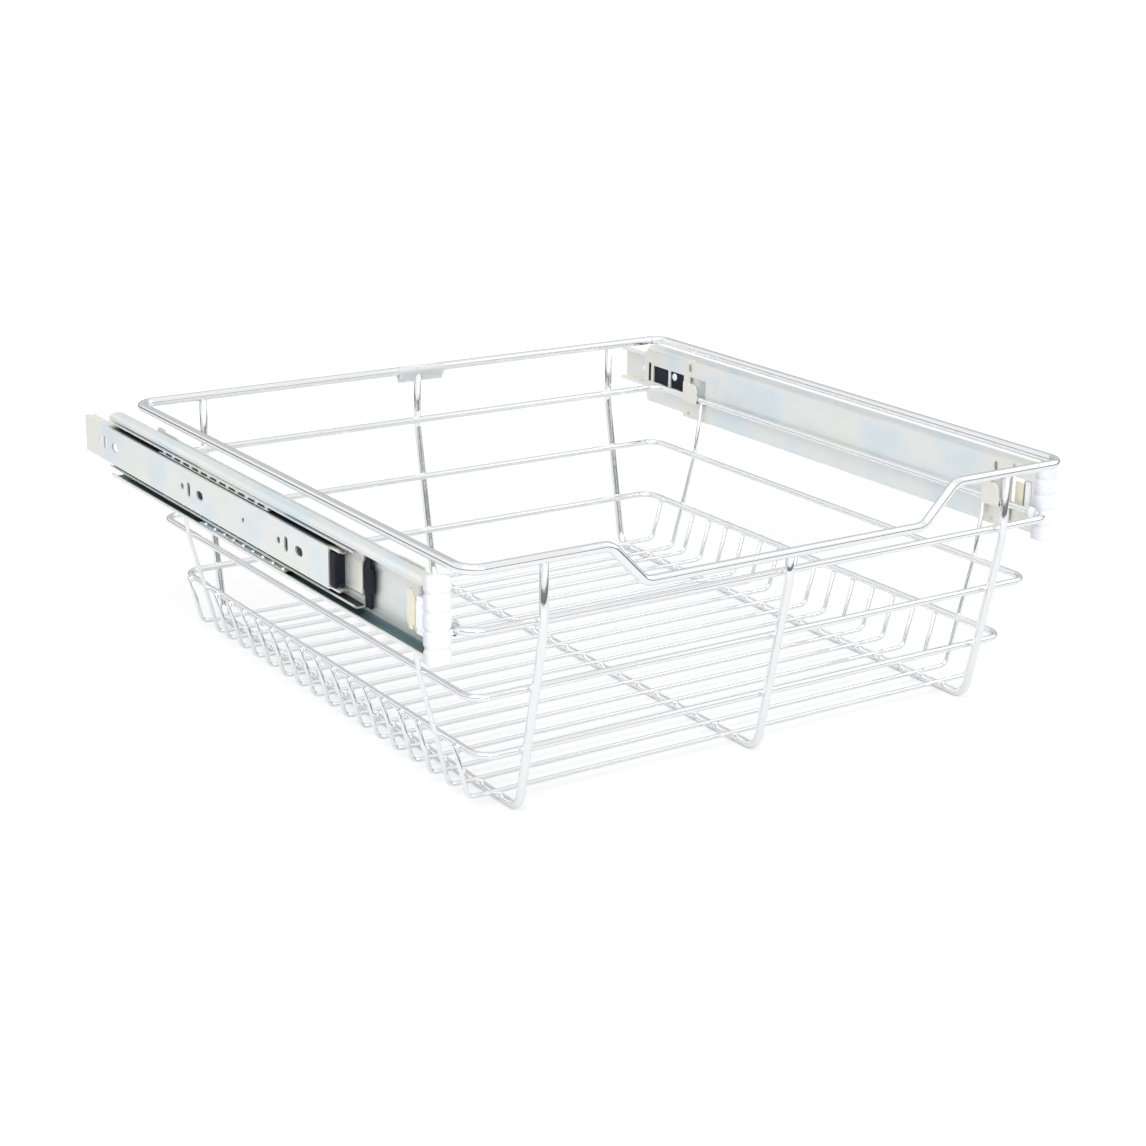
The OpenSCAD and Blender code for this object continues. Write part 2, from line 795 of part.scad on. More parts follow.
// Black bumper on the front end of the middle rail's web
module middle_bumper(side) {
    u0 = inner_cage_u;
    u1 = middle_web_u + sheet_t;
    arm = bumper_l * 0.52;
    color(BLACK)
        at_slide(side) {
            block([u0, middle_y0 - bumper_l, -8.5], [u1, middle_y0 - 0.1, 8.5]);
            block([u0, middle_y0 - arm, -middle_half + 1], [u1, middle_y0 - 0.1, middle_half - 1]);
        }
}

rim_wire();
upper_ring_wire();
wall_ring(middle_drop);  // middle_ring_wire
wall_ring(lower_drop);  // lower_ring_wire
u_frame(-u_spacing, 0);  // left_u_frame
u_frame(0, scoop_drop);  // centre_u_frame
u_frame(u_spacing, 0);  // right_u_frame
cross_wires(0, 4);  // cross_wires_rear
cross_wires(5, 8);  // cross_wires_mid_rear
cross_wires(9, 12);  // cross_wires_mid_front
cross_wires(13, cross_count - 1);  // cross_wires_front
long_cross_wires();
carrier_plate(LEFT);  // left_carrier_plate
channel_rail(LEFT);  // left_channel_rail
middle_rail(LEFT);  // left_middle_rail
wall_rail(LEFT);  // left_wall_rail
inner_cage(LEFT);  // left_inner_cage
inner_balls(LEFT);  // left_inner_balls
outer_cage(LEFT);  // left_outer_cage
outer_balls(LEFT);  // left_outer_balls
front_cap(LEFT);  // left_front_cap
catch_spring(LEFT);  // left_catch_spring
catch_block(LEFT);  // left_catch_block
rear_stop(LEFT);  // left_rear_stop
stop_button(LEFT);  // left_stop_button
wall_bumper(LEFT);  // left_wall_bumper
middle_bumper(LEFT);  // left_middle_bumper
carrier_plate(RIGHT);  // right_carrier_plate
channel_rail(RIGHT);  // right_channel_rail
middle_rail(RIGHT);  // right_middle_rail
wall_rail(RIGHT);  // right_wall_rail
inner_cage(RIGHT);  // right_inner_cage
inner_balls(RIGHT);  // right_inner_balls
outer_cage(RIGHT);  // right_outer_cage
outer_balls(RIGHT);  // right_outer_balls
front_cap(RIGHT);  // right_front_cap
catch_spring(RIGHT);  // right_catch_spring
catch_block(RIGHT);  // right_catch_block
rear_stop(RIGHT);  // right_rear_stop
stop_button(RIGHT);  // right_stop_button
wall_bumper(RIGHT);  // right_wall_bumper
middle_bumper(RIGHT);  // right_middle_bumper
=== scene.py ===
import math
import random

import bmesh
import bpy
from mathutils import Matrix, Vector


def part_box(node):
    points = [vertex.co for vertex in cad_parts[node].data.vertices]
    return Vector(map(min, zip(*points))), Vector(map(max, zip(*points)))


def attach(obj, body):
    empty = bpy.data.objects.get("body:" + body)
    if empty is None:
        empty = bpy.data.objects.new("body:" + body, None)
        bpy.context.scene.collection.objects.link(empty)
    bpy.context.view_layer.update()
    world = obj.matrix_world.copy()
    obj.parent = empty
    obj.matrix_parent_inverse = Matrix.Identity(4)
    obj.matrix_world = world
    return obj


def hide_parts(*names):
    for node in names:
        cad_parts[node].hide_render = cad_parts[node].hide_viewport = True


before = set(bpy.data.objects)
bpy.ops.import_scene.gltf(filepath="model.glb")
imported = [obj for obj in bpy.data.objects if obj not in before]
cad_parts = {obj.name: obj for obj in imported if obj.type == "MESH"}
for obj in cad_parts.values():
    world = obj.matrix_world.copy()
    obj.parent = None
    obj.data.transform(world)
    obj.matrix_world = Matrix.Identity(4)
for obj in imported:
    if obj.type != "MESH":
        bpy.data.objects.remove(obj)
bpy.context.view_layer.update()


# ---------------------------------------------------------------- camera
# The basket is seen from its front left corner and a little above, with a long
# lens. The picture is a square of 1146 by 1146.
view_azimuth = math.radians(-33.9764)
view_elevation = math.radians(17.8725)
view_roll = math.radians(0.9412)
view_from = (-0.8234, -1.2436, 0.5362)
focal_px = 2195.21
picture_px = 1146
sensor = 36.0

camera = bpy.data.objects.new("camera", bpy.data.cameras.new("camera"))
bpy.context.scene.collection.objects.link(camera)
camera.data.sensor_fit = "HORIZONTAL"
camera.data.sensor_width = sensor
camera.data.lens = sensor * focal_px / picture_px
camera.data.clip_start = 0.05
looks = Vector((-math.sin(view_azimuth) * math.cos(view_elevation),
                math.cos(view_azimuth) * math.cos(view_elevation),
                -math.sin(view_elevation)))
right = Vector((math.cos(view_azimuth), math.sin(view_azimuth), 0))
up = right.cross(looks)
turned_right = right * math.cos(view_roll) + up * math.sin(view_roll)
turned_up = up * math.cos(view_roll) - right * math.sin(view_roll)
camera.matrix_world = Matrix([(turned_right[k], turned_up[k], -looks[k], view_from[k])
                              for k in range(3)] + [(0, 0, 0, 1)])
bpy.context.scene.camera = camera
bpy.context.scene.view_settings.view_transform = "Standard"


# ---------------------------------------------------------------- studio
# A white sweep of paper under and behind the basket, one big soft box over the
# left shoulder, weaker ones on the right and behind the camera and the white
# walls of the room. Mirrored surfaces also see a grey strip on the horizon.
def wired(tree, kind, **values):
    """A shader node with its settings and its sockets' constants."""
    node = tree.nodes.new(kind)
    for key, value in values.items():
        if hasattr(node, key):
            setattr(node, key, value)
        else:
            node.inputs[key.replace("_", " ")].default_value = value
    return node


room = bpy.data.worlds.new("white_room")
bpy.context.scene.world = room
room.use_nodes = True
tree = room.node_tree
tree.nodes.clear()
ray = tree.nodes.new("ShaderNodeLightPath")
facing = tree.nodes.new("ShaderNodeTexCoord")
split = tree.nodes.new("ShaderNodeSeparateXYZ")
tree.links.new(facing.outputs["Generated"], split.inputs[0])
walls = tree.nodes.new("ShaderNodeValToRGB")
lift = tree.nodes.new("ShaderNodeMath")
lift.operation = "MULTIPLY_ADD"
lift.inputs[1].default_value = 0.5
lift.inputs[2].default_value = 0.5
tree.links.new(split.outputs["Z"], lift.inputs[0])
tree.links.new(lift.outputs[0], walls.inputs[0])
bands = walls.color_ramp
bands.interpolation = "EASE"
bands.elements[0].position = 0.50
bands.elements[0].color = (0.22, 0.23, 0.25, 1)
bands.elements[1].position = 1.0
bands.elements[1].color = (1.0, 1.0, 1.0, 1)
for place, level in ((0.55, 0.24), (0.58, 1.0), (0.80, 0.95)):
    stop = bands.elements.new(place)
    stop.color = (level, level, level, 1)
shown = wired(tree, "ShaderNodeBackground")
shown.inputs["Color"].default_value = (1, 1, 1, 1)
mirrored = wired(tree, "ShaderNodeBackground")
tree.links.new(walls.outputs["Color"], mirrored.inputs["Color"])
lit = wired(tree, "ShaderNodeBackground")
lit.inputs["Color"].default_value = (1, 1, 1, 1)
lit.inputs["Strength"].default_value = 0.74
mirror_mix = tree.nodes.new("ShaderNodeMixShader")
tree.links.new(ray.outputs["Is Glossy Ray"], mirror_mix.inputs[0])
tree.links.new(lit.outputs[0], mirror_mix.inputs[1])
tree.links.new(mirrored.outputs[0], mirror_mix.inputs[2])
clear_mix = tree.nodes.new("ShaderNodeMath")
clear_mix.operation = "MAXIMUM"
tree.links.new(ray.outputs["Is Camera Ray"], clear_mix.inputs[0])
tree.links.new(ray.outputs["Is Transmission Ray"], clear_mix.inputs[1])
seen_mix = tree.nodes.new("ShaderNodeMixShader")
tree.links.new(clear_mix.outputs[0], seen_mix.inputs[0])
tree.links.new(mirror_mix.outputs[0], seen_mix.inputs[1])
tree.links.new(shown.outputs[0], seen_mix.inputs[2])
world_end = tree.nodes.new("ShaderNodeOutputWorld")
tree.links.new(seen_mix.outputs[0], world_end.inputs["Surface"])


def soft_box(name, place, width, height, watts, aim=(0, 0, 0.1)):
    """Oblong lamp that looks at the basket."""
    lamp = bpy.data.lights.new(name, "AREA")
    lamp.shape = "RECTANGLE"
    lamp.size = width
    lamp.size_y = height
    lamp.energy = watts
    holder = bpy.data.objects.new(name, lamp)
    bpy.context.scene.collection.objects.link(holder)
    holder.location = place
    holder.rotation_euler = (Vector(aim) - Vector(place)).to_track_quat("-Z", "Y").to_euler()


soft_box("big_soft_box", (-1.3, -0.9, 2.3), 1.8, 1.8, 30)
soft_box("side_soft_box", (2.0, -1.0, 1.5), 1.2, 1.6, 10)
soft_box("front_soft_box", (-0.5, -2.9, 1.5), 2.2, 1.2, 16)

paper_mesh = bpy.data.meshes.new("paper_sweep")
paper_bm = bmesh.new()
rows = []
sweep_back, sweep_r = 5.0, 2.5
profile = [(along, 0.0) for along in (-7.0, -3.0, 0.0, 3.0)]
profile += [(sweep_back + sweep_r * math.sin(a), sweep_r - sweep_r * math.cos(a))
            for a in (math.radians(d) for d in range(0, 91, 6))]
profile.append((sweep_back + sweep_r, 8.0))
for along, height in profile:
    rows.append([paper_bm.verts.new((across, along, height)) for across in (-9.0, 0.0, 9.0)])
for low, high in zip(rows, rows[1:]):
    for k in range(2):
        paper_bm.faces.new((low[k], low[k + 1], high[k + 1], high[k]))
for face in paper_bm.faces:
    face.smooth = True
paper_bm.to_mesh(paper_mesh)
paper_bm.free()
paper = bpy.data.objects.new("paper_sweep", paper_mesh)
paper.rotation_euler = (0, 0, view_azimuth)
bpy.context.scene.collection.objects.link(paper)
paper_finish = bpy.data.materials.new("white_paper")
paper_finish.use_nodes = True
tree = paper_finish.node_tree
tree.nodes.clear()
matt = wired(tree, "ShaderNodeBsdfDiffuse")
glow = wired(tree, "ShaderNodeEmission")
glow.inputs["Color"].default_value = (1, 1, 1, 1)
glow.inputs["Strength"].default_value = 1.16
ray = tree.nodes.new("ShaderNodeLightPath")
place = tree.nodes.new("ShaderNodeTexCoord")
reach = tree.nodes.new("ShaderNodeVectorMath")
reach.operation = "LENGTH"
tree.links.new(place.outputs["Object"], reach.inputs[0])
fade = tree.nodes.new("ShaderNodeMapRange")
fade.inputs["From Min"].default_value = 0.35
fade.inputs["From Max"].default_value = 1.1
fade.inputs["To Min"].default_value = 0.5
fade.inputs["To Max"].default_value = 1.0
tree.links.new(reach.outputs["Value"], fade.inputs["Value"])
seen = tree.nodes.new("ShaderNodeMath")
seen.operation = "MULTIPLY"
tree.links.new(ray.outputs["Is Camera Ray"], seen.inputs[0])
tree.links.new(fade.outputs[0], seen.inputs[1])
far = tree.nodes.new("ShaderNodeMapRange")
far.inputs["From Min"].default_value = 1.6
far.inputs["From Max"].default_value = 2.6
tree.links.new(reach.outputs["Value"], far.inputs["Value"])
height = tree.nodes.new("ShaderNodeSeparateXYZ")
tree.links.new(place.outputs["Object"], height.inputs[0])
foot = tree.nodes.new("ShaderNodeMapRange")
foot.inputs["From Min"].default_value = 0.6
foot.inputs["From Max"].default_value = 1.3
foot.inputs["To Min"].default_value = 1.0
foot.inputs["To Max"].default_value = 0.0
tree.links.new(height.outputs["Z"], foot.inputs["Value"])
strip = tree.nodes.new("ShaderNodeMath")
strip.operation = "MULTIPLY"
tree.links.new(far.outputs[0], strip.inputs[0])
tree.links.new(foot.outputs[0], strip.inputs[1])
strip_seen = tree.nodes.new("ShaderNodeMath")
strip_seen.operation = "MULTIPLY"
tree.links.new(strip.outputs[0], strip_seen.inputs[0])
tree.links.new(ray.outputs["Is Glossy Ray"], strip_seen.inputs[1])
shade = tree.nodes.new("ShaderNodeMix")
shade.data_type = "RGBA"
tree.links.new(strip_seen.outputs[0], shade.inputs[0])
shade.inputs[6].default_value = (0.86, 0.86, 0.86, 1)
shade.inputs[7].default_value = (0.20, 0.20, 0.22, 1)
tree.links.new(shade.outputs[2], matt.inputs["Color"])
blend = tree.nodes.new("ShaderNodeMixShader")
tree.links.new(seen.outputs[0], blend.inputs[0])
tree.links.new(matt.outputs[0], blend.inputs[1])
tree.links.new(glow.outputs[0], blend.inputs[2])
paper_end = tree.nodes.new("ShaderNodeOutputMaterial")
tree.links.new(blend.outputs[0], paper_end.inputs["Surface"])
paper_mesh.materials.append(paper_finish)


# ---------------------------------------------------------------- rim
# The thick wire round the top is one closed loop of drawn steel wire, dipped
# at the front for the hand, butt welded, polished and bright chromed.
MM = 0.001
rim_low, rim_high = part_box("rim_wire")
basket_y = (rim_low.y + rim_high.y) / 2
rim_r = 3.25 * MM
rim_half_w = (rim_high.x - rim_low.x) / 2 - rim_r
rim_half_d = (rim_high.y - rim_low.y) / 2 - rim_r
rim_z = rim_high.z - rim_r
dip_drop = rim_high.z - rim_low.z - 2 * rim_r
dip_half = 134 * MM
ring_bend = 12 * MM


def chromed(name, haze, grain):
    """Bright chrome with a little uneven haze and a faint swell."""
    finish = bpy.data.materials.new(name)
    finish.use_nodes = True
    tree = finish.node_tree
    gloss = tree.nodes["Principled BSDF"]
    gloss.inputs["Base Color"].default_value = (0.88, 0.89, 0.90, 1)
    gloss.inputs["Metallic"].default_value = 1.0
    where = tree.nodes.new("ShaderNodeTexCoord")
    cloud = wired(tree, "ShaderNodeTexNoise", Scale=90.0, Detail=4.0)
    tree.links.new(where.outputs["Object"], cloud.inputs["Vector"])
    tone = tree.nodes.new("ShaderNodeMapRange")
    tone.inputs["From Min"].default_value = 0.3
    tone.inputs["From Max"].default_value = 0.75
    tone.inputs["To Min"].default_value = haze * 0.6
    tone.inputs["To Max"].default_value = haze * 1.7
    tree.links.new(cloud.outputs["Fac"], tone.inputs["Value"])
    tree.links.new(tone.outputs[0], gloss.inputs["Roughness"])
    swell = wired(tree, "ShaderNodeTexNoise", Scale=grain, Detail=3.0)
    tree.links.new(where.outputs["Object"], swell.inputs["Vector"])
    ripple = wired(tree, "ShaderNodeBump", Strength=0.12, Distance=0.0004)
    tree.links.new(swell.outputs["Fac"], ripple.inputs["Height"])
    tree.links.new(ripple.outputs[0], gloss.inputs["Normal"])
    return finish


bright_chrome = chromed("bright_chrome", 0.07, 260.0)


def rounded(points, bends, closed=False, turn_step=7.5):
    """Line through the points, each corner rounded to its bend radius."""
    line = []
    count = len(points)
    for i, here in enumerate(points):
        here = Vector(here)
        if bends[i] == 0 or (not closed and i in (0, count - 1)):
            line.append(here)
            continue
        back = (Vector(points[i - 1]) - here).normalized()
        on = (Vector(points[(i + 1) % count]) - here).normalized()
        inside = back.angle(on)
        sweep = math.pi - inside
        trim = bends[i] * math.tan(sweep / 2)
        centre = here + (back + on).normalized() * (bends[i] / math.cos(sweep / 2))
        axis = back.cross(on).normalized()
        first = here + back * trim - centre
        steps = max(4, round(math.degrees(sweep) / turn_step))
        for k in range(steps + 1):
            line.append(centre + Matrix.Rotation(-sweep * k / steps, 3, axis) @ first)
    return line


def draw_wire(bm, line, radius, normal, sides=24, crop=0.14):
    """Round wire along a flat line, its cropped ends with a soft edge."""
    normal = Vector(normal)
    loops = []

    def loop(centre, tangent, r):
        side = tangent.cross(normal).normalized()
        return [bm.verts.new(centre + r * (math.cos(a) * side + math.sin(a) * normal))
                for a in (2 * math.pi * s / sides for s in range(sides))]

    last = len(line) - 1
    for i, here in enumerate(line):
        ahead = (line[i + 1] - here).normalized() if i < last else Vector()
        ahead += (here - line[i - 1]).normalized() if i else Vector()
        tangent = ahead.normalized()
        if i == 0:
            loops.append(loop(here, tangent, radius * (1 - crop)))
            loops.append(loop(here + tangent * radius * crop, tangent, radius))
        elif i == last:
            loops.append(loop(here - tangent * radius * crop, tangent, radius))
            loops.append(loop(here, tangent, radius * (1 - crop)))
        else:
            loops.append(loop(here, tangent, radius))
    for one, two in zip(loops, loops[1:]):
        for s in range(sides):
            t = (s + 1) % sides
            bm.faces.new((one[s], two[s], two[t], one[t])).smooth = True
    bm.faces.new(loops[0])
    bm.faces.new(list(reversed(loops[-1])))


def finished(name, bm, finish, body, slot, *nodes):
    """Makes the piece, gives it its finish and hangs it on its body."""
    bmesh.ops.recalc_face_normals(bm, faces=bm.faces)
    mesh = bpy.data.meshes.new(name)
    bm.to_mesh(mesh)
    bm.free()
    mesh.materials.append(finish)
    piece = bpy.data.objects.new(name, mesh)
    bpy.context.scene.collection.objects.link(piece)
    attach(piece, body)
    if nodes:
        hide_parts(*nodes)
    return piece


front, back = basket_y - rim_half_d, basket_y + rim_half_d
dip_floor = dip_half - dip_drop
rim_path = [(-rim_half_w, back, rim_z), (-rim_half_w, front, rim_z),
            (-dip_half, front, rim_z), (-dip_floor, front, rim_z - dip_drop),
            (dip_floor, front, rim_z - dip_drop), (dip_half, front, rim_z),
            (rim_half_w, front, rim_z), (rim_half_w, back, rim_z)]


def draw_loop(bm, line, radius, sides=24):
    """Closed round wire along a line that may leave its plane."""
    count = len(line)
    loops = []
    side = None
    for i, here in enumerate(line):
        tangent = ((line[(i + 1) % count] - here).normalized()
                   + (here - line[i - 1]).normalized()).normalized()
        if side is None:
            side = tangent.cross(Vector((0, 0, 1))).normalized()
        side = (side - tangent * side.dot(tangent)).normalized()
        other = tangent.cross(side)
        loops.append([bm.verts.new(here + radius * (math.cos(a) * side + math.sin(a) * other))
                      for a in (2 * math.pi * s / sides for s in range(sides))])
    for one, two in zip(loops, loops[1:] + loops[:1]):
        for s in range(sides):
            t = (s + 1) % sides
            bm.faces.new((one[s], two[s], two[t], one[t])).smooth = True


bm = bmesh.new()
draw_loop(bm, rounded(rim_path, [ring_bend] * 8, closed=True), rim_r, sides=32)
finished("rim", bm, bright_chrome, "basket", "chrome_wire", "rim_wire")


# ---------------------------------------------------------------- rings
# Three rings of thinner wire go round the walls, one under another. They are
# welded to the inside of the upright wires and chromed with them.
ring_sizes = {}
for node in ("upper_ring_wire", "middle_ring_wire", "lower_ring_wire"):
    low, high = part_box(node)
    ring_r = (high.z - low.z) / 2
    half_w = (high.x - low.x) / 2 - ring_r
    half_d = (high.y - low.y) / 2 - ring_r
    height = (high.z + low.z) / 2
    ring_sizes[node] = (half_w, half_d, height, ring_r)
    bm = bmesh.new()
    corners = [(-half_w, basket_y - half_d, height), (half_w, basket_y - half_d, height),
               (half_w, basket_y + half_d, height), (-half_w, basket_y + half_d, height)]
    draw_loop(bm, rounded(corners, [ring_bend] * 4, closed=True), ring_r)
    finished(node.replace("_wire", ""), bm, bright_chrome, "basket", "chrome_wire", node)


# ---------------------------------------------------------------- U frames
# Three stout wires run down from the front rim, under the base and up to the
# rear rim. Their cropped ends are butt welded under the rim.
frame_r = 2.75 * MM
knee_z = rim_z - 44.7 * MM
knee_bend = 40 * MM
foot_half = 203.5 * MM
foot_bend = 12 * MM
frame_x = 179 * MM
sunk = 0.3 * MM
for node, across, drop in (("left_u_frame", -frame_x, 0), ("centre_u_frame", 0, dip_drop),
                           ("right_u_frame", frame_x, 0)):
    top = rim_z - rim_r + sunk
    shape = [(across, front, top - drop), (across, front, knee_z),
             (across, basket_y - foot_half, frame_r), (across, basket_y + foot_half, frame_r),
             (across, back, knee_z), (across, back, top)]
    bm = bmesh.new()
    bends = [0, knee_bend, foot_bend, foot_bend, knee_bend, 0]
    draw_wire(bm, rounded(shape, bends), frame_r, (1, 0, 0))
    finished(node, bm, bright_chrome, "basket", "chrome_wire", node)


# ---------------------------------------------------------------- base
# Thin wires lie across the U frames at an even pitch and turn up at both sides
# to the lower ring. They are spot welded wherever they cross.
cross_r = 1.5 * MM
cross_z = 6.8 * MM
cross_bend = 6 * MM
cross_pitch = 22 * MM
base_half = 201.5 * MM
groups = {"cross_wires_rear": range(0, 5), "cross_wires_mid_rear": range(5, 9),
          "cross_wires_mid_front": range(9, 13), "cross_wires_front": range(13, 18)}


def cross_place(i):
    """Where the cross wire lies from front to back, counted from the rear."""
    return basket_y + (8.5 - i) * cross_pitch + 4.6 * MM


long_wires = (1, 16)
cross_top_z = rim_z - 122.5 * MM
for node, members in groups.items():
    low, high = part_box(node)
    cross_top = (high.x - low.x) / 2 - cross_r * 0.95
    bm = bmesh.new()
    for i in members:
        if i in long_wires:
            continue
        y = cross_place(i)
        shape = [(-cross_top, y, cross_top_z), (-base_half, y, cross_z),
                 (base_half, y, cross_z), (cross_top, y, cross_top_z)]
        draw_wire(bm, rounded(shape, [0, cross_bend, cross_bend, 0]), cross_r, (0, 1, 0), sides=16)
    finished(node.replace("cross_wires", "cross_rods"), bm, bright_chrome,
             "basket", "chrome_wire", node)


# ---------------------------------------------------------------- long wires
# The second wire from each end runs on past the lower and middle rings and
# ends under the upper ring, beside the hooks of the carrier plates.
rear_set = 5.5 * MM
long_places = (cross_place(1) - rear_set, cross_place(16))
upper = ring_sizes["upper_ring_wire"]
middle = ring_sizes["middle_ring_wire"]
long_top = upper[0] + 0.9 * MM
long_top_z = upper[2] - upper[3] + 0.2 * MM
long_knee = 222 * MM
long_bend = 30 * MM
bm = bmesh.new()
for y in long_places:
    shape = [(-long_top, y, long_top_z), (-long_knee, y, middle[2]), (-base_half, y, cross_z),
             (base_half, y, cross_z), (long_knee, y, middle[2]), (long_top, y, long_top_z)]
    bends = [0, long_bend, cross_bend, cross_bend, long_bend, 0]
    draw_wire(bm, rounded(shape, bends), cross_r, (0, 1, 0), sides=16)
finished("long_rods", bm, bright_chrome, "basket", "chrome_wire", "long_cross_wires")


# ---------------------------------------------------------------- welds
# Every crossing is spot welded: the wires sink a little into each other and a
# small collar of metal is squeezed out, then plated over with the rest.
random.seed(7)
lower = ring_sizes["lower_ring_wire"]
frame_places = (-frame_x, 0, frame_x)
side_weld = (0.8 * MM, 1.8 * MM, 1.9 * MM)
weld_chrome = chromed("weld_chrome", 0.2, 1400.0)


def squeeze(bm, place, size):
    """A small uneven collar of squeezed-out metal."""
    made = bmesh.ops.create_icosphere(bm, subdivisions=2, radius=1.0)["verts"]
    for v in made:
        wobble = 1 + random.uniform(-0.09, 0.09)
        v.co = Vector(place) + Vector([c * s for c, s in zip(v.co, size)]) * wobble


bm = bmesh.new()
for i in range(18):
    y = long_places[0] if i == 1 else cross_place(i)
    for across in frame_places:
        squeeze(bm, (across, y, 5.4 * MM), (2.1 * MM, 1.9 * MM, 0.75 * MM))
    for side in (-1, 1):
        squeeze(bm, (side * (lower[0] + lower[3] * 0.92), y, lower[2]), side_weld)
for y in long_places:
    for side in (-1, 1):
        squeeze(bm, (side * (middle[0] + middle[3] * 0.92), y, middle[2]), side_weld)
        squeeze(bm, (side * upper[0], y, upper[2] - upper[3] * 0.97),
                (1.8 * MM, 1.9 * MM, 0.8 * MM))
for across in frame_places:
    for end in (-1, 1):
        for ring in (upper, middle, lower):
            squeeze(bm, (across, basket_y + end * (ring[1] + ring[3] * 0.95), ring[2]),
                    (2.5 * MM, 0.9 * MM, 2.4 * MM))
        top = rim_z - (dip_drop if across == 0 and end == -1 else 0)
        squeeze(bm, (across, basket_y + end * rim_half_d, top - rim_r * 0.93),
                (3.0 * MM, 2.9 * MM, 0.8 * MM))
for face in bm.faces:
    face.smooth = True
finished("weld_collars", bm, weld_chrome, "basket", "chrome_wire")


# ---------------------------------------------------------------- slide steel
# The rails and plates are rolled and pressed from steel strip, zinc plated and
# passivated: pale blue grey with faint cream and green clouds and cream ends.
# The wall rail's front tips are set back on a copy of its mesh.
def painted_gap_shade(tree, split, colour, reach, lip, turned, tint, span):
    """Painted shade where the sheet faces the balls in the gaps between the rails,
    near black on the rails, and dark teal painted reflection on the channel:
    far from the slide's middle, turned towards it (1) or away from it (-1),
    behind the lip and within the span where another rail runs over it."""
    def sum_of(kind, a, b=None):
        node = tree.nodes.new("ShaderNodeMath")
        node.operation = kind
        for k, value in enumerate((a, b)):
            if isinstance(value, (int, float)):
                node.inputs[k].default_value = value
            elif value is not None:
                tree.links.new(value, node.inputs[k])
        return node.outputs[0]

    def step(value, low, high):
        node = tree.nodes.new("ShaderNodeMapRange")
        node.inputs["From Min"].default_value = low
        node.inputs["From Max"].default_value = high
        tree.links.new(value, node.inputs["Value"])
        return node.outputs[0]

    facing = tree.nodes.new("ShaderNodeNewGeometry")
    parts = tree.nodes.new("ShaderNodeSeparateXYZ")
    tree.links.new(facing.outputs["True Normal"], parts.inputs[0])
    above = sum_of("SUBTRACT", split.outputs["Z"], slide_z)
    behind = sum_of("SUBTRACT", wall_x, sum_of("ABSOLUTE", split.outputs["X"]))
    facing_in = sum_of("MULTIPLY", parts.outputs["Z"], -turned)
    inward = sum_of("MULTIPLY", sum_of("SIGN", above), facing_in)
    soft = 0.4 * MM
    mask = sum_of("MULTIPLY", step(inward, 0.12, 0.5),
                  step(sum_of("ABSOLUTE", above), reach - soft, reach + soft))
    mask = sum_of("MULTIPLY", mask, step(behind, lip, lip + soft))
    middle_at = (span[0] + span[1]) / 2
    half = (span[1] - span[0]) / 2
    along = sum_of("ABSOLUTE", sum_of("SUBTRACT", split.outputs["Y"], middle_at))
    mask = sum_of("MULTIPLY", mask, step(along, half, half - 12 * MM))
    blend = tree.nodes.new("ShaderNodeMix")
    blend.data_type = "RGBA"
    tree.links.new(mask, blend.inputs[0])
    tree.links.new(colour, blend.inputs[6])
    blend.inputs[7].default_value = (*tint, 1)
    return blend.outputs[2]


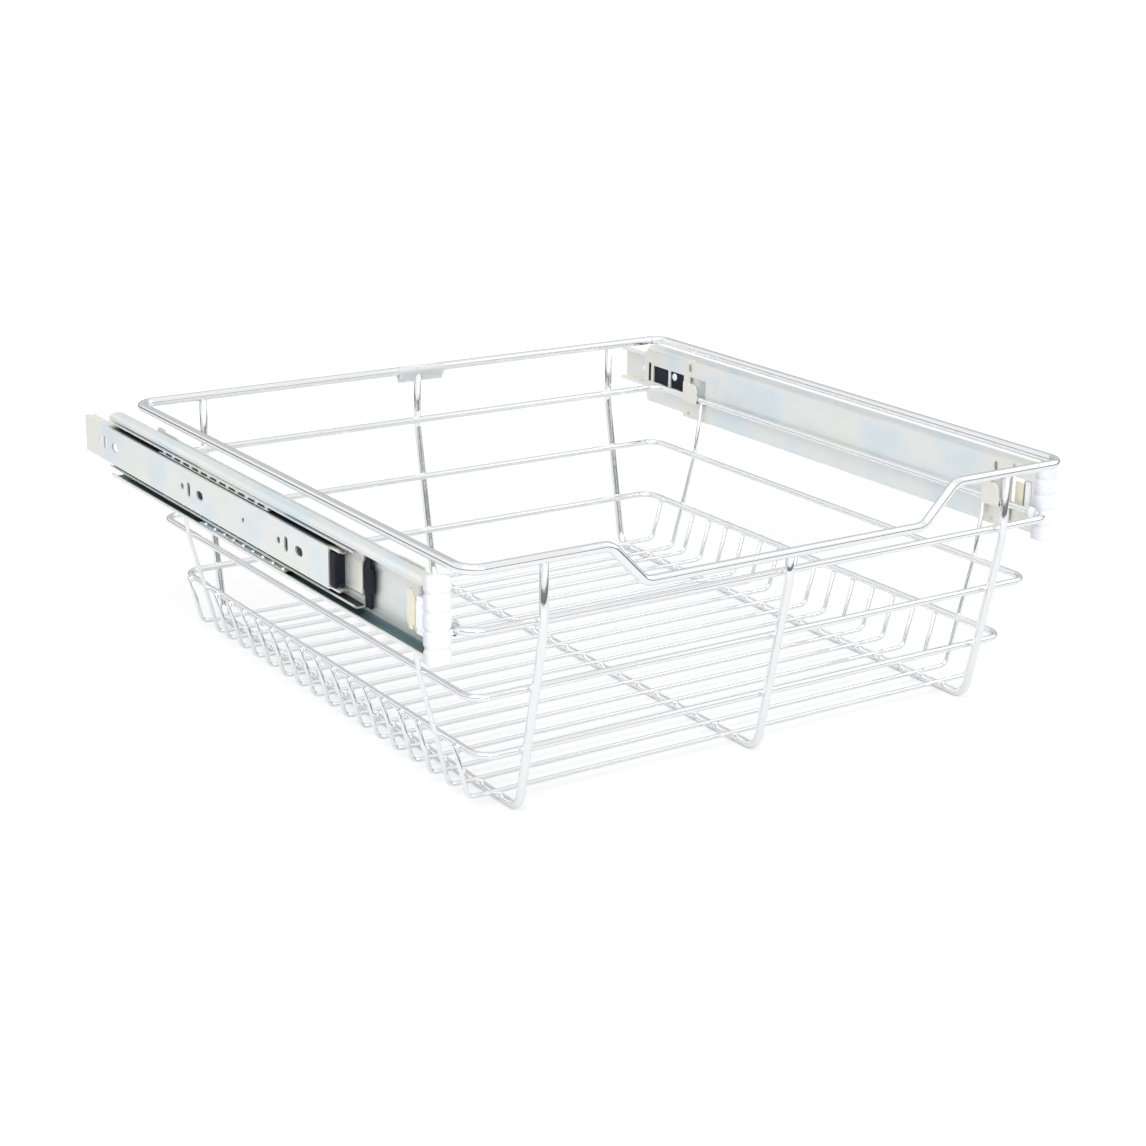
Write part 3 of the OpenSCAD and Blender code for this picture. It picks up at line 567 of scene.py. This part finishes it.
def zinc_plated(name, cream_at, cream_over, haze=0.44, shade_in_gaps=None):
    """Plated steel; cream_at is the middle and the half length of its clouded run,
    whose ends turn cream over the last stretch."""
    finish = bpy.data.materials.new(name)
    finish.use_nodes = True
    tree = finish.node_tree
    gloss = tree.nodes["Principled BSDF"]
    gloss.inputs["Metallic"].default_value = 0.62
    where = tree.nodes.new("ShaderNodeTexCoord")
    drawn_out = tree.nodes.new("ShaderNodeMapping")
    drawn_out.inputs["Scale"].default_value = (1.0, 0.6, 1.0)
    tree.links.new(where.outputs["Object"], drawn_out.inputs["Vector"])
    cloud = wired(tree, "ShaderNodeTexNoise", Scale=26.0, Detail=3.0, Roughness=0.5)
    tree.links.new(drawn_out.outputs[0], cloud.inputs["Vector"])
    ramp = tree.nodes.new("ShaderNodeValToRGB")
    tints = ramp.color_ramp
    tints.elements[0].position = 0.28
    tints.elements[0].color = (0.78, 0.84, 0.80, 1)
    tints.elements[1].position = 0.74
    tints.elements[1].color = (0.88, 0.86, 0.81, 1)
    for place, tint in ((0.40, (0.77, 0.86, 0.91)), (0.52, (0.87, 0.89, 0.88)),
                        (0.62, (0.84, 0.89, 0.86))):
        stop = tints.elements.new(place)
        stop.color = (*tint, 1)
    tree.links.new(cloud.outputs["Fac"], ramp.inputs[0])
    split = tree.nodes.new("ShaderNodeSeparateXYZ")
    tree.links.new(where.outputs["Object"], split.inputs[0])
    away = tree.nodes.new("ShaderNodeMath")
    away.operation = "SUBTRACT"
    away.inputs[1].default_value = cream_at[0]
    tree.links.new(split.outputs["Y"], away.inputs[0])
    spread = tree.nodes.new("ShaderNodeMath")
    spread.operation = "ABSOLUTE"
    tree.links.new(away.outputs[0], spread.inputs[0])
    ends = tree.nodes.new("ShaderNodeMapRange")
    ends.inputs["From Min"].default_value = cream_at[1] - cream_over
    ends.inputs["From Max"].default_value = cream_at[1]
    tree.links.new(spread.outputs[0], ends.inputs["Value"])
    mixed = tree.nodes.new("ShaderNodeMix")
    mixed.data_type = "RGBA"
    tree.links.new(ends.outputs[0], mixed.inputs[0])
    tree.links.new(ramp.outputs[0], mixed.inputs[6])
    mixed.inputs[7].default_value = (0.88, 0.87, 0.80, 1)
    colour = mixed.outputs[2]
    # Painted shade and painted reflection darken the races in the gaps between the rails.
    if shade_in_gaps is not None:
        colour = painted_gap_shade(tree, split, colour, *shade_in_gaps)
    tree.links.new(colour, gloss.inputs["Base Color"])
    streak_map = tree.nodes.new("ShaderNodeMapping")
    streak_map.inputs["Scale"].default_value = (900.0, 14.0, 900.0)
    tree.links.new(where.outputs["Object"], streak_map.inputs["Vector"])
    streak = wired(tree, "ShaderNodeTexNoise", Scale=1.0, Detail=3.0)
    tree.links.new(streak_map.outputs[0], streak.inputs["Vector"])
    tone = tree.nodes.new("ShaderNodeMapRange")
    tone.inputs["From Min"].default_value = 0.3
    tone.inputs["From Max"].default_value = 0.7
    tone.inputs["To Min"].default_value = haze * 0.75
    tone.inputs["To Max"].default_value = haze * 1.3
    tree.links.new(streak.outputs["Fac"], tone.inputs["Value"])
    tree.links.new(tone.outputs[0], gloss.inputs["Roughness"])
    fine = wired(tree, "ShaderNodeBump", Strength=0.18, Distance=0.00003)
    tree.links.new(streak.outputs["Fac"], fine.inputs["Height"])
    tree.links.new(fine.outputs[0], gloss.inputs["Normal"])
    return finish


def coat(node, finish):
    """A solid whose shape is right keeps it and takes the finish."""
    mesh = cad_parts[node].data
    mesh.materials.clear()
    mesh.materials.append(finish)


wall_low, wall_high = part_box("left_wall_rail")
channel_low, channel_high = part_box("left_channel_rail")
slide_z = (wall_low.z + wall_high.z) / 2
wall_x = -wall_low.x
channel_y0 = channel_low.y
middle_low, middle_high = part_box("left_middle_rail")
# reach, lip, turned, tint and span of the painted gap shade on each rail
gap_shading = {"channel_rail": (19.4 * MM, 1.7 * MM, 1.0, (0.11, 0.175, 0.19), (-1.0, 1.0)),
          "middle_rail": (13.6 * MM, 2.7 * MM, 1.0, (0.025, 0.03, 0.03), (-1.0, 1.0)),
          "wall_rail": (10.4 * MM, 1.5 * MM, -1.0, (0.04, 0.045, 0.04),
                        (wall_low.y + 14 * MM, middle_high.y))}
tip_set = 9.5 * MM
for kind in ("carrier_plate", "channel_rail", "middle_rail", "wall_rail"):
    low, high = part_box("left_" + kind)
    centre = (low.y + high.y) / 2
    half = (high.y - low.y) / 2
    cream_end, cream_over = (14 * MM, 22 * MM) if kind == "carrier_plate" else (0, 34 * MM)
    finish = zinc_plated("zinc_" + kind, (centre, half - cream_end), cream_over,
                         shade_in_gaps=gap_shading.get(kind))
    for side in ("left_", "right_"):
        if kind != "wall_rail":
            coat(side + kind, finish)
            continue
        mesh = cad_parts[side + kind].data.copy()
        mesh.materials.clear()
        mesh.materials.append(finish)
        for v in mesh.vertices:
            if v.co.y < wall_low.y + 1 * MM:
                v.co.y += tip_set + 0.8 * (abs(v.co.z - slide_z) - 12 * MM)
        piece = bpy.data.objects.new(side + "wall_member", mesh)
        bpy.context.scene.collection.objects.link(piece)
        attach(piece, "wall_rails")
        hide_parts(side + kind)


# ---------------------------------------------------------------- ball cages
# Thin bright steel strip holds the rows of hardened balls between the rails.
cage_steel = zinc_plated("cage_steel", (0.0, 9.0), 1.0, haze=0.2)
ball_steel = chromed("ball_steel", 0.05, 900.0)
for side in ("left_", "right_"):
    for kind in ("inner_", "outer_"):
        coat(side + kind + "cage", cage_steel)
        coat(side + kind + "balls", ball_steel)


# ---------------------------------------------------------------- plastics
# The cap, catch block and buttons are moulded in white plastic with a cool cast,
# and the stops and bumpers in black plastic. Both have a fine spark texture.
def moulded(name, colour, deep, haze, spark):
    """Two close tones in soft clouds under a fine spark-eroded grain."""
    finish = bpy.data.materials.new(name)
    finish.use_nodes = True
    tree = finish.node_tree
    gloss = tree.nodes["Principled BSDF"]
    where = tree.nodes.new("ShaderNodeTexCoord")
    cloud = wired(tree, "ShaderNodeTexNoise", Scale=120.0, Detail=3.0)
    tree.links.new(where.outputs["Object"], cloud.inputs["Vector"])
    mixed = tree.nodes.new("ShaderNodeMix")
    mixed.data_type = "RGBA"
    tree.links.new(cloud.outputs["Fac"], mixed.inputs[0])
    mixed.inputs[6].default_value = (*colour, 1)
    mixed.inputs[7].default_value = (*deep, 1)
    tree.links.new(mixed.outputs[2], gloss.inputs["Base Color"])
    grain = wired(tree, "ShaderNodeTexNoise", Scale=spark, Detail=2.0)
    tree.links.new(where.outputs["Object"], grain.inputs["Vector"])
    tone = tree.nodes.new("ShaderNodeMapRange")
    tone.inputs["To Min"].default_value = haze * 0.8
    tone.inputs["To Max"].default_value = haze * 1.25
    tree.links.new(grain.outputs["Fac"], tone.inputs["Value"])
    tree.links.new(tone.outputs[0], gloss.inputs["Roughness"])
    fine = wired(tree, "ShaderNodeBump", Strength=0.25, Distance=0.00002)
    tree.links.new(grain.outputs["Fac"], fine.inputs["Height"])
    tree.links.new(fine.outputs[0], gloss.inputs["Normal"])
    return finish


grain_scale = 2600.0
white_plastic = moulded("white_plastic", (0.91, 0.92, 0.965), (0.88, 0.90, 0.965),
                        0.42, grain_scale)
black_plastic = moulded("black_plastic", (0.008, 0.008, 0.016), (0.014, 0.014, 0.026),
                        0.62, grain_scale)
black_plastic.node_tree.nodes["Principled BSDF"].inputs["Specular IOR Level"].default_value = 0.25
for side in ("left_", "right_"):
    coat(side + "catch_block", white_plastic)
    coat(side + "rear_stop", black_plastic)


# ---------------------------------------------------------------- front caps
# One white moulding closes the front end of each channel: five soft lobes with
# grooves between them, two pegs in the channel and a clip round the upper ring.
def on_slide(side, u, y, v):
    """From the wall inwards, from the channel's front end, and up."""
    return Vector((side * (wall_x - u * MM), channel_y0 + y * MM, slide_z + v * MM))


def round_block(bm, side, low, high, r, turns=3):
    """Block with all its edges rounded, by its corners in slide axes, in mm."""
    size = [(b - a) / 2 for a, b in zip(low, high)]
    middle_at = [(b + a) / 2 for a, b in zip(low, high)]
    made = bmesh.ops.create_cube(bm, size=2.0)["verts"]
    for v in made:
        v.co = Vector([c * s for c, s in zip(v.co, size)])
    edges = list({e for v in made for e in v.link_edges})
    out = bmesh.ops.bevel(bm, geom=edges, offset=r, segments=turns, profile=0.5,
                          affect="EDGES", clamp_overlap=True)
    moved = {v for f in out["faces"] for v in f.verts} | {v for v in made if v.is_valid}
    for v in moved:
        v.co = on_slide(side, *(c + m for c, m in zip(v.co, middle_at)))
    for face in {f for v in moved for f in v.link_faces}:
        face.smooth = True


def cap_body(bm, side, u0, u1, y0, y1, half_v):
    """Upright shell, pinched in at its grooves and rounded at its ends."""
    pitch = 2 * half_v / 4.8
    grooves = [-half_v + pitch * (k + 0.9) for k in range(4)]
    groove_deep, groove_half = 0.95, 1.35
    end_r, bend = 1.6, 2.4
    levels = 84
    rows = []
    for n in range(levels + 1):
        v = -half_v + 2 * half_v * n / levels
        near = min(abs(v - g) for g in grooves)
        dent = groove_deep * math.exp(-(near / groove_half) ** 2)
        edge = half_v - abs(v)
        if edge < end_r:
            dent += end_r - math.sqrt(max(0.0, end_r ** 2 - (end_r - edge) ** 2))
        ring = [(u0 + dent, y1), (u0 + dent, y0 + dent + bend)]
        ring += [(u0 + dent + bend - bend * math.cos(a), y0 + dent + bend - bend * math.sin(a))
                 for a in (math.radians(d) for d in (18, 36, 54, 72, 90))]
        ring += [(u1 - dent - bend + bend * math.sin(a), y0 + dent + bend - bend * math.cos(a))
                 for a in (math.radians(d) for d in (0, 18, 36, 54, 72))]
        ring += [(u1 - dent, y0 + dent + bend), (u1 - dent, y1)]
        rows.append([bm.verts.new(on_slide(side, u, y, v)) for u, y in ring])
    for low_row, high_row in zip(rows, rows[1:]):
        count = len(low_row)
        for k in range(count):
            m = (k + 1) % count
            bm.faces.new((low_row[k], low_row[m], high_row[m], high_row[k])).smooth = k != count - 1
    bm.faces.new(rows[0])
    bm.faces.new(list(reversed(rows[-1])))


def cap_clip(bm, side, centre_u, centre_v, y0, y1):
    """Curved finger under the upper ring, with a thicker lip at its free end."""
    inner, outer = 2.8, 4.4
    steps, lip_from = 26, 22
    rows = []
    for n in range(steps + 1):
        a = math.radians(172 + 253 * n / steps)
        swell = 0.075 * max(0.0, n - lip_from)
        inside, outside = [(centre_u + r * math.cos(a), centre_v + r * math.sin(a))
                           for r in (inner, outer + swell)]
        rows.append([bm.verts.new(on_slide(side, u, y, v))
                     for (u, v), y in ((inside, y0), (outside, y0), (outside, y1), (inside, y1))])
    for one, two in zip(rows, rows[1:]):
        for k in range(4):
            m = (k + 1) % 4
            bm.faces.new((one[k], one[m], two[m], two[k])).smooth = k in (1, 3)
    bm.faces.new(rows[0])
    bm.faces.new(list(reversed(rows[-1])))


ring_u = (wall_x - upper[0]) / MM
ring_v = (upper[2] - slide_z) / MM
clip_y0, clip_y1 = -7.9, -1.5
for side, word in ((-1, "left"), (1, "right")):
    bm = bmesh.new()
    cap_body(bm, side, 0.3, 14.5, -9.4, -0.1, 26.25)
    for peg_v0, peg_v1 in ((-21.4, -14.8), (14.8, 21.4)):
        round_block(bm, side, (7.5, -1.0, peg_v0), (11.2, 4.0, peg_v1), 0.5)
    cap_clip(bm, side, ring_u, ring_v, clip_y0, clip_y1)
    round_block(bm, side, (12.9, clip_y0, ring_v - 4.4), (17.6, clip_y1, ring_v - 2.6), 0.4)
    finished(word + "_stepped_cap", bm, white_plastic,
             "basket", "white_plastic", word + "_front_cap")


# ---------------------------------------------------------------- bumpers
# Black mouldings take the knock when the rails run home. One fills the gap
# between the tips of the wall rail, one is pressed on the middle rail's web.
bumper_low, bumper_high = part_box("left_wall_bumper")
middle_y = (middle_low.y - channel_y0) / MM
tip_y = (wall_low.y - channel_y0) / MM
far_u = (bumper_high.x + wall_x) / MM
half_v = (bumper_high.z - bumper_low.z) / 2 / MM
cushion_low, cushion_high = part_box("left_middle_bumper")
cushion_u0 = (cushion_low.x + wall_x) / MM
cushion_u1 = (cushion_high.x + wall_x) / MM
rib_pitch = 3.2
for side, word in ((-1, "left"), (1, "right")):
    bm = bmesh.new()
    round_block(bm, side, (cushion_u0 - 0.1, middle_y - 12.6, -7.0),
                (cushion_u1, middle_y - 0.15, 8.6), 1.6)
    round_block(bm, side, (cushion_u0, middle_y - 9.4, 6.5),
                (cushion_u1, middle_y - 3.6, 17.0), 0.7)
    round_block(bm, side, (cushion_u0, middle_y - 9.6, -17.0),
                (cushion_u1, middle_y - 2.6, -5.5), 0.7)
    for k in range(3):
        round_block(bm, side, (cushion_u0 - 0.35, middle_y - 10.2 + rib_pitch * k, -5.0),
                    (cushion_u0 + 0.4, middle_y - 8.8 + rib_pitch * k, 6.4), 0.35)
    finished(word + "_middle_cushion", bm, black_plastic, word + "_middle", "black_plastic",
             word + "_middle_bumper")
    bm = bmesh.new()
    round_block(bm, side, (0.5, tip_y + 13.6, -half_v), (far_u, tip_y + 20.7, half_v), 1.0)
    round_block(bm, side, (2.0, tip_y + 19.5, 3 - half_v), (far_u, tip_y + 30, half_v - 3), 0.6)
    round_block(bm, side, (2.6, tip_y + 8.6, 1.2 - half_v), (4.4, tip_y + 15.0, 3.4 - half_v), 0.4)
    finished(word + "_wall_cushion", bm, black_plastic, "wall_rails", "black_plastic",
             word + "_wall_bumper")


# ---------------------------------------------------------------- rear tag
# A blank paper tag is folded over the back of the rim, its two leaves pressed
# together below the wire.
tag_paper = moulded("tag_paper", (1.0, 1.0, 1.0), (0.95, 0.95, 0.96), 0.7, 900.0)
bm = bmesh.new()
tag_r = rim_r + 0.25 * MM
tag_x0, tag_wide = -17 * MM, 39 * MM
leaf = [(0.35 * MM, -9 * MM), (0.5 * MM, -6.2 * MM), (tag_r * 0.75, -4.2 * MM)]
outline = leaf + [(tag_r * math.cos(a), tag_r * math.sin(a))
                  for a in (math.radians(d) for d in range(-30, 211, 15))]
outline += [(-dy, dz) for dy, dz in reversed(leaf)]
columns = 27
grid = []
for n in range(columns):
    x = tag_x0 + tag_wide * n / (columns - 1)
    row = []
    for k, (dy, dz) in enumerate(outline):
        wave = 0.16 * MM * math.sin(n * 1.3 + k * 0.8) if abs(dz) > 5 * MM else 0
        row.append(bm.verts.new((x, basket_y + rim_half_d + dy + wave, rim_z + dz)))
    grid.append(row)
for one, two in zip(grid, grid[1:]):
    for k in range(len(outline) - 1):
        bm.faces.new((one[k], one[k + 1], two[k + 1], two[k])).smooth = True
bmesh.ops.solidify(bm, geom=bm.faces[:], thickness=0.2 * MM)
finished("rear_tag", bm, tag_paper, "basket", "white_plastic")


# ---------------------------------------------------------------- stop buttons
# A domed white button with a thin collar sits in the window of each rear stop.
button_low, button_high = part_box("left_stop_button")
button_y = ((button_low.y + button_high.y) / 2 - channel_y0) / MM
button_v = ((button_low.z + button_high.z) / 2 - slide_z) / MM
button_u = (button_low.x + wall_x) / MM
head_r, head_u, dome = 3.1, button_u + 1.8, 1.1
around = 28
turned = [(2.4, button_u), (2.5, button_u + 1.2), (3.0, button_u + 1.35), (head_r, head_u)]
turned += [(head_r * math.cos(a), head_u + dome * math.sin(a))
           for a in (math.radians(d) for d in range(15, 90, 15))]
for side, word in ((-1, "left"), (1, "right")):
    bm = bmesh.new()
    loops = []
    for r, u in turned:
        loops.append([bm.verts.new(on_slide(side, u, button_y + r * math.cos(a),
                                            button_v + r * math.sin(a)))
                      for a in (2 * math.pi * k / around for k in range(around))])
    for one, two in zip(loops, loops[1:]):
        for k in range(around):
            m = (k + 1) % around
            bm.faces.new((one[k], one[m], two[m], two[k])).smooth = True
    bm.faces.new(loops[0])
    bm.faces.new(list(reversed(loops[-1])))
    finished(word + "_domed_button", bm, white_plastic,
             "basket", "white_plastic", word + "_stop_button")


# ---------------------------------------------------------------- catch spring
# A strip of spring brass, bent through the channel's window and dulled by
# handling. Its narrow end is folded over and holds the shut wall rail.
spring_brass = moulded("spring_brass", (0.93, 0.89, 0.76), (0.84, 0.78, 0.60), 0.34, 700.0)
spring_brass.node_tree.nodes["Principled BSDF"].inputs["Metallic"].default_value = 0.55
for side, word in ((-1, "left"), (1, "right")):
    bm = bmesh.new()
    round_block(bm, side, (0.8, 11.6, -6.5), (1.6, 19.4, 14.8), 0.3)
    round_block(bm, side, (1.0, 12.8, -9.5), (2.0, 17.6, -5.5), 0.35)
    round_block(bm, side, (0.9, 10.0, -8.8), (13.3, 10.8, 11.8), 0.3)
    round_block(bm, side, (0.9, 10.1, -6.2), (1.7, 12.4, 11.6), 0.3)
    round_block(bm, side, (12.5, 10.0, -7.5), (13.3, 18.4, 10.1), 0.3)
    round_block(bm, side, (0.5, 14.2, -4.0), (1.2, 17.0, -0.8), 0.3)
    finished(word + "_spring_strip", bm, spring_brass,
             "basket", "spring_brass", word + "_catch_spring")
